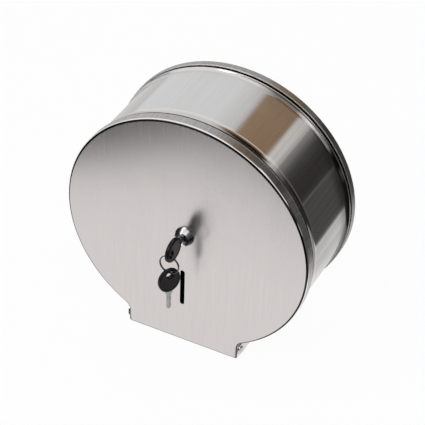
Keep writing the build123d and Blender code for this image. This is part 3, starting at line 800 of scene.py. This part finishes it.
class BackPan(bpy.types.Operator):
    """Draws the back pan"""
    bl_idname = "dispenser.back_pan"
    bl_label = "Back pan"

    def execute(self, context):
        rim = PAN_RIM / MM
        # Painted shade on the flange, a third to a half of the tint, with grain drawn along the depth, and a
        # painted highlight on the rim's edge. Turns clear the painted shade a little at most angles and deepen
        # it between 44 and 56 degrees.
        zones = [(0, 0.3, 0, 1), (1.6, 0.4, 0, 1), (2.4, 0.48, 0.08, 1), (rim - 1.1, 0.48, 0.08, 1),
                 (rim - 0.8, 1.4, 0.2, 0), (rim, 1.4, 0.2, 0)]
        turns = [(-180, 0.15, 0, 1), (35, 0.3, 0, 1), (44, 0, 0, 0.45), (56, 0, 0, 0.5), (66, 0.1, 0, 1),
                 (180, 0.15, 0, 1)]
        finish = steel("Pan steel", "Y", 0.92, 0, 1, zones, turns)
        back_pan_mesh().piece("pan_sheet", finish, "housing", "pan_steel", ["back_pan"])
        return {"FINISHED"}


class DrumBand(bpy.types.Operator):
    """Draws the rolled drum band"""
    bl_idname = "dispenser.drum_band"
    bl_label = "Drum band"

    def execute(self, context):
        # Painted shade and highlights along the band: near-black painted shade in the groove behind the rear
        # bead and from the crest forward, painted highlights on the rear bead, where the front cove starts and
        # at the top of the front cove, and painted shade in both coves. Turns clear or deepen the painted shade
        # by angle and set the broad streaks.
        zones = [(1, 0.06, 0.1, 0), (9.0, 0.06, 0.1, 0), (9.8, 0.4, 0.2, 0), (11.6, 1.3, 0.14, 0),
                 (13.4, 1.3, 0.08, 0), (14.0, 0.12, 0, 0), (16.5, 0.25, 0, 0), (19.0, 0.7, 0, 0),
                 (20.3, 0.85, 0, 0), (45, 1, 0, 0), (90, 1, 0, 0), (91.5, 1.3, -0.08, 0), (94.0, 1.1, -0.08, 0),
                 (96.0, 0.35, 0, 0), (101.8, 0.2, 0, 0), (102.2, 1.2, -0.05, 0), (102.9, 1.2, -0.05, 0),
                 (103.3, 0.02, 0.1, 0)]
        turns = [(-180, 0.6, 0.5, 1), (-60, 0.3, 0.5, 0.8), (20, 0, 0.5, 0.35), (36, 0, 0.55, 0.8),
                 (44, 0.2, 0.6, 1), (49, 0.89, 0.6, 1), (54, 0.85, 0.5, 1), (59, 0, 0.12, 1), (70, 0, 0.08, 1),
                 (79, 0.85, 0.05, 1), (110, 0.89, 0.05, 1), (135, 0.89, 0.4, 1), (180, 0.6, 0.5, 1)]
        finish = steel("Drum steel", "Y", 1.03, -0.10, 1.0, zones, turns)
        drum_band_mesh().piece("drum_sheet", finish, "housing", "drum_steel", ["drum_band"])
        return {"FINISHED"}


class PaperExit(bpy.types.Operator):
    """Finishes the paper exit: side walls, tear blades, rivets and hinge pins"""
    bl_idname = "dispenser.paper_exit"
    bl_label = "Paper exit"

    def execute(self, context):
        wall = steel("Cheek steel", "Z")
        for node in ("right_cheek", "left_cheek"):
            dressed(node, wall, "housing", 0.12 * MM)
        cut = steel("Blade steel", "Y", 0.96, 0.02)
        for node in ("right_tear_blade", "left_tear_blade"):
            dressed(node, cut, "housing", 0.06 * MM)
        head = plated("Rivet steel", (0.66, 0.66, 0.66), 0.26, 0.08)
        for node in ("blade_rivets", "lap_rivets", "base_rivets", "hinge_pins"):
            dressed(node, head, "housing", 0.12 * MM)
        return {"FINISHED"}


class Spindle(bpy.types.Operator):
    """Finishes the spindle, its foot, washers and clip, and the catch on its end"""
    bl_idname = "dispenser.spindle"
    bl_label = "Spindle and catch"

    def execute(self, context):
        rod = plated("Turned steel", (0.58, 0.58, 0.59), 0.30, 0.10, 4e-6)
        for node in ("spindle_base", "spindle"):
            dressed(node, rod, "housing", 0.15 * MM)
        zinc = plated("Zinc plate", context.scene.dispenser_inner.zinc, 0.34, 0.12, 3e-6)
        for node in ("thrust_washer", "hub_washer", "retaining_clip", "catch_screw"):
            dressed(node, zinc, "housing", 0.12 * MM)
        dressed("lock_catch", steel("Catch steel", "X", 0.92, 0.04), "housing", 0.15 * MM)
        return {"FINISHED"}


class RollHub(bpy.types.Operator):
    """Finishes the moulded roll hub"""
    bl_idname = "dispenser.roll_hub"
    bl_label = "Roll hub"

    def execute(self, context):
        dressed("roll_hub", moulded("Hub plastic", context.scene.dispenser_inner.hub, 0.42), "hub", 0.25 * MM)
        return {"FINISHED"}


class FrontCover(bpy.types.Operator):
    """Draws the pressed front cover"""
    bl_idname = "dispenser.front_cover"
    bl_label = "Front cover"

    def execute(self, context):
        rim, face = COVER_RIM / MM, FACE / MM
        # Painted highlights on the flange's rim edge and on the outer part of the edge radius, painted shade on
        # the flange, with grain drawn along the depth, and a near-black painted dark reflection where the edge
        # radius meets the face. Turns clear the painted shade by angle, most along the bottom and near 30
        # degrees, and deepen it between 44 and 66 degrees.
        zones = [(rim, 1.8, 0.35, 0), (rim + 0.5, 1.8, 0.30, 0), (rim + 0.7, 0.2, 0, 1),
                 (rim + 1.3, 0.5, 0.10, 1), (face - 3.0, 0.5, 0.10, 1), (face - 2.5, 1.8, -0.16, 0),
                 (face - 1.3, 1.8, -0.16, 0), (face - 1.0, 0.02, -0.1, 0), (face - 0.03, 0.02, -0.1, 0),
                 (face - 0.006, 1, 0.055, 0)]
        turns = [(-180, 0.3, 0, 1), (-142, 0.3, 0, 1), (-130, 0.915, 0, 1), (-50, 0.925, 0, 1),
                 (-38, 0.3, 0, 1), (20, 0.4, 0, 1), (30, 0.9, 0, 1), (38, 0.8, 0, 1), (44, 0, 0, 0.6),
                 (50, 0, 0, 0.35), (57, 0, 0, 0.45), (66, 0, 0, 0.8), (80, 0.2, 0, 1), (180, 0.3, 0, 1)]
        finish = steel("Cover steel", "Z", brush=0.6, zones=zones, turns=turns)
        front_cover_mesh().piece("cover_sheet", finish, "cover", "cover_steel", ["front_cover"])
        return {"FINISHED"}


class CamLock(bpy.types.Operator):
    """Draws the lock's bezel and body, and finishes its plug, nut, washers and cam"""
    bl_idname = "dispenser.cam_lock"
    bl_label = "Cam lock"

    def execute(self, context):
        s = context.scene.dispenser_lock
        # Painted reflections on the chrome bezel: by angle round the lock, sectors near 1 keep the tint as
        # painted highlights and the rest darken towards near-black as painted dark reflections.
        bezel_painted_reflections = [(-180, 0.9), (-150, 0.7), (-118, 0.3), (-108, 0.9), (-62, 0.95), (-48, 0.1), (-30, 0.02),
                  (18, 0.03), (28, 0.35), (38, 0.1), (52, 0.14), (63, 1), (98, 1), (110, 0.03), (160, 0.02),
                  (170, 0.8), (180, 0.9)]
        chrome = plated("Lock chrome", s.chrome, 0.07, 0.03, 1e-6, bezel_painted_reflections)
        lock_housing_mesh().piece("lock_body", chrome, "cover", "lock_chrome", ["lock_housing"])
        # Painted dark reflections on the plug face by angle round the lock; only the sector from -115 to -75
        # degrees keeps the full tint.
        plug_painted_reflections = [(-180, 0.35), (-130, 0.4), (-115, 1), (-75, 1), (-60, 0.3), (20, 0.1), (100, 0.15), (180, 0.35)]
        dressed("lock_plug", plated("Plug face", s.nickel, 0.16, 0.06, turns=plug_painted_reflections), "lock_core", 0.1 * MM)
        zinc = plated("Lock zinc", context.scene.dispenser_inner.zinc, 0.34, 0.12, 3e-6)
        for node, body in (("lock_washer", "cover"), ("lock_nut", "cover"), ("cam_washer", "lock_core"),
                           ("cam_nut", "lock_core")):
            dressed(node, zinc, body, 0.15 * MM)
        dressed("lock_cam", steel("Cam steel", "Z", 0.94, 0.04), "lock_core", 0.15 * MM)
        return {"FINISHED"}


class Keys(bpy.types.Operator):
    """Draws the key in the lock and the spare key"""
    bl_idname = "dispenser.keys"
    bl_label = "Keys"

    def execute(self, context):
        s = context.scene.dispenser_lock
        plastic = moulded("Bow plastic", s.bow, 0.24, 4e-5)
        nickel = plated("Key nickel", [c * 0.72 for c in s.nickel], 0.22, 0.16)
        length, high, thick, hole, hole_in = (size * MM for size in (28.6, 24.6, 5.0, 4.2, 6.7))
        tongue, neck, tip = 8.0 * MM, 3.2 * MM, 45 * MM
        bow = (length, high, thick, hole, hole_in)
        blank = (length - hole_in + neck, tip, 3.75 * MM, 2.5 * MM, 1.9 * MM)
        hole_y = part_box("key_steel")[1].y - tip
        spare_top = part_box("spare_key_bow")[1].z - hole_in
        hang = Matrix.Rotation(np.radians(-32.0), 4, "Z") @ Matrix.Rotation(np.radians(-90), 4, "X")
        for name, turn, height, body in (("key", Matrix.Identity(4), 0.0, "key"),
                                         ("spare_key", hang, spare_top, "spare_key")):
            place = (0, hole_y, height)
            grip = moved(bow_mesh(bow), turn, place)
            grip.piece(name + "_grip", plastic, body, "bow_plastic", [name + "_bow"])
            blade = moved(blade_mesh(length - hole_in - tongue, blank), turn, place)
            blade.piece(name + "_blank", nickel, body, "key_nickel", [name + "_steel"])
        return {"FINISHED"}


class KeyRing(bpy.types.Operator):
    """Draws the split ring"""
    bl_idname = "dispenser.key_ring"
    bl_label = "Key ring"

    def execute(self, context):
        low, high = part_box("key_ring")
        centre = (low + high) / 2
        wire = context.scene.dispenser_lock.wire
        coil = ring_mesh((high.x - low.x) / 2 - wire, wire, high.y - low.y - 2 * wire)
        finish = plated("Ring steel", (0.10, 0.10, 0.105), 0.2, 0.06)
        moved(coil, Matrix.Identity(4), centre).piece("split_ring", finish, "ring", "ring_steel", ["key_ring"])
        return {"FINISHED"}


class Stage(bpy.types.Operator):
    """Sets the floor, the light and the camera"""
    bl_idname = "dispenser.stage"
    bl_label = "Stage"

    def execute(self, context):
        floor_sheet(context.scene.dispenser_studio)
        surroundings(context.scene)
        lamps(context.scene.dispenser_studio.light)
        camera(context.scene)
        context.scene.view_settings.view_transform = "Standard"
        return {"FINISHED"}


# Stage --------------------------------------------------------------------------------
def floor_sheet(s):
    """White paper under the dispenser, which stands on it as in the photograph. The camera
    sees the shadow on it and looks through it to the same white, so that a cover swung
    below the chin shows. A mirror sees it end a set way out in front."""
    mesh = bpy.data.meshes.new("floor_paper")
    half, level = 1.6, CHIN_BOTTOM - 0.2 * MM
    corners = [(-half, -half), (half, -half), (half, half), (-half, half)]
    mesh.from_pydata([(*corner, level) for corner in corners], [], [(0, 1, 2, 3)])
    material, tree = new_finish("Floor paper")
    seen_straight = tree.node("ShaderNodeLightPath")
    mirror = tree.node("ShaderNodeLightPath", output=3)
    fibre = tree.noise(420, 3.0, 0.6)
    paper = tree.mix(fibre, rgb([c * 0.97 for c in s.floor]), rgb(s.floor))
    x, y, _ = tree.axes(tree.node("ShaderNodeTexCoord", output=3))
    away = y * -1
    # Painted shade: near-black paper below the exit, where the dispenser's shadow falls, seen through the sight
    # slot.
    under = (1 - x.distance().step(0.062, 0.064)) * (1 - away.step(0.1035, 0.105)) * away.step(0.010, 0.012)
    diffuse = tree.node("ShaderNodeBsdfDiffuse", {}, {0: tree.mix(under, paper, (0.02, 0.02, 0.02, 1))})
    share = (seen_straight + mirror).smaller(1.0) * (1 - under) * 0.95
    # What mirrors see: the paper, the dark room beyond its curved end, and the wall side.
    corner = ((x + 0.095).distance() - 0.03).larger(0.0) * 0.45 + (-0.16 - x).larger(0.0) * 0.45
    far = (away + corner).step(FACE + s.paper, FACE + s.paper + 0.05)
    room = tree.mix(away.step(0.75, 1.0), (0.036, 0.038, 0.032, 1), (0.45, 0.45, 0.45, 1))
    seen = tree.mix(far, (0.92, 0.90, 0.895, 1), room)
    seen = tree.mix(1 - away.step(-0.08, 0.0), seen, (0.68, 0.68, 0.68, 1))
    rear = (1 - away.step(-0.31, -0.25)) * x.step(-0.14, -0.06) * away.step(-1.20, -1.05)
    seen = tree.mix(rear, seen, (0.03, 0.03, 0.03, 1))
    seen = tree.mix(x.step(0.255, 0.285), seen, (0.05, 0.048, 0.046, 1))
    glow = tree.node("ShaderNodeEmission", {}, {0: seen, 1: 1.0})
    clear = tree.node("ShaderNodeBsdfTransparent", {}, {0: (1, 1, 1, 1)})
    sheet = tree.node("ShaderNodeMixShader", {}, {0: seen_straight, 1: glow, 2: clear})
    tree.surface(tree.node("ShaderNodeMixShader", {}, {0: share, 1: diffuse, 2: sheet}))
    mesh.materials.append(material)
    floor = bpy.data.objects.new("floor_paper", mesh)
    bpy.context.scene.collection.objects.link(floor)


def surroundings(scene):
    """Soft studio round the dispenser: white to the eye and even for soft light. Mirrors
    see bands by the angle round the dispenser's own axis behind it, a dark room in front,
    and a long soft box overhead."""
    scene.world = bpy.data.worlds.new("Studio")
    tree = Tree(scene.world)
    x, y, z = tree.axes(tree.node("ShaderNodeTexCoord"))
    slope = z - x * 1.2
    low, high = -2.2, 2.2
    bands = [(low, (0.05, 0.048, 0.046)), (-0.89, (0.04, 0.039, 0.038)), (-0.863, (0.16, 0.16, 0.16)),
             (-0.84, (0.04, 0.039, 0.038)), (-0.62, (0.035, 0.033, 0.03)), (-0.42, (0.075, 0.073, 0.07)),
             (-0.28, (0.26, 0.26, 0.25)), (-0.17, (0.62, 0.62, 0.60)), (-0.08, (0.80, 0.80, 0.78)),
             (-0.02, (0.76, 0.75, 0.73)), (0.04, (0.27, 0.18, 0.105)), (0.58, (0.30, 0.21, 0.135)),
             (0.66, (0.66, 0.675, 0.68)), (1.1, (0.79, 0.82, 0.83)), (high, (0.95, 0.95, 0.95))]
    stops = [((place - low) / (high - low), colour) for place, colour in bands]
    side = tree.ramp((slope - low) / (high - low), stops)
    behind = tree.mix(x.step(-0.28, -0.10), (0.80, 0.82, 0.83, 1), side)
    strip = y.step(0.765, 0.79) * (1 - y.step(0.82, 0.85)) * (slope.step(-0.3, 0.1) * 0.5 + 0.12)
    behind = tree.mix(strip, behind, (0.95, 0.87, 0.76, 1))
    front = tree.ramp(z * 0.5 + 0.5, [
        (0.0, (0.40, 0.40, 0.40)), (0.50, (0.45, 0.45, 0.45)), (0.53, (0.02, 0.02, 0.02)),
        (0.82, (0.05, 0.05, 0.05)), (1.0, (0.30, 0.30, 0.30))])
    front = tree.mix((1 - x.step(-0.60, -0.35)) * z.step(0.0, 0.2), front, (0.55, 0.56, 0.57, 1))
    room = tree.mix(y.step(0.14, 0.26), front, behind)
    gap = y.step(0.90, 0.97) * x.step(-0.18, -0.06) * slope.step(-0.16, -0.06)
    room = tree.mix(gap, room, (0.03, 0.028, 0.025, 1))
    box = (1 - (y + 0.06).distance().step(0.26, 0.34)) * z.step(0.26, 0.36)
    mirror_view = tree.mix(box, room, (1, 1, 1, 1))
    camera_ray = tree.node("ShaderNodeLightPath")
    glossy = tree.node("ShaderNodeLightPath", output=3)
    soft = tree.mix(glossy, (0.72, 0.72, 0.72, 1), mirror_view)
    colour = tree.mix(camera_ray, soft, (1, 1, 1, 1))
    tree.surface(tree.node("ShaderNodeBackground", {}, {0: colour, 1: 1.0}), "World")


def lamps(level):
    """Two large soft boxes, from above left and from the front right."""
    for name, spot, size, power in (("key_box", (-0.7, -1.0, 1.3), 0.9, 9.0),
                                    ("fill_box", (1.2, -1.1, 0.5), 0.8, 3.0)):
        data = bpy.data.lights.new(name, "AREA")
        data.size = size
        data.energy = power * level
        lamp = bpy.data.objects.new(name, data)
        lamp.location = spot
        lamp.rotation_euler = (Vector((0, 0, 0)) - Vector(spot)).to_track_quat("-Z", "Y").to_euler()
        bpy.context.scene.collection.objects.link(lamp)


def camera(scene):
    """Long lens above and to the right, fitted to the outlines of the dispenser."""
    data = bpy.data.cameras.new("view")
    data.lens = 140.92
    data.sensor_width = 36
    data.clip_start = 0.05
    look = bpy.data.objects.new("view", data)
    right, up = Vector((0.8909, 0.45334, 0.02771)), Vector((-0.30099, 0.54364, 0.78351))
    back = Vector((0.34012, -0.70637, 0.62077))
    spot = Vector((0.5827, -1.2653, 1.0505))
    look.matrix_world = Matrix([(*row, spot[i]) for i, row in enumerate(zip(right, up, back))] + [(0, 0, 0, 1)])
    scene.collection.objects.link(look)
    scene.camera = look


class Panel(bpy.types.Panel):
    """Lists the pieces and their settings"""
    bl_idname = "VIEW3D_PT_dispenser"
    bl_label = "Roll dispenser"
    bl_space_type = "VIEW_3D"
    bl_region_type = "UI"
    bl_category = "Dispenser"

    def draw(self, context):
        for group, _ in GROUPS:
            box = self.layout.box()
            for name in getattr(context.scene, group).bl_rna.properties.keys():
                if name not in ("rna_type", "name"):
                    box.prop(getattr(context.scene, group), name)
        for operator in OPERATORS:
            self.layout.operator(operator.bl_idname)


OPERATORS = (BackPan, DrumBand, PaperExit, Spindle, RollHub, FrontCover, CamLock, Keys, KeyRing, Stage)


def register():
    for name, group in GROUPS:
        bpy.utils.register_class(group)
        setattr(bpy.types.Scene, name, PointerProperty(type=group))
    for kind in (*OPERATORS, Panel):
        bpy.utils.register_class(kind)


def unregister():
    for kind in reversed((*OPERATORS, Panel)):
        bpy.utils.unregister_class(kind)
    for name, group in GROUPS:
        delattr(bpy.types.Scene, name)
        bpy.utils.unregister_class(group)


def main():
    """Runs the operators in order."""
    register()
    for operator in OPERATORS:
        group, name = operator.bl_idname.split(".")
        getattr(getattr(bpy.ops, group), name)()


if __name__ == "__main__":
    main()
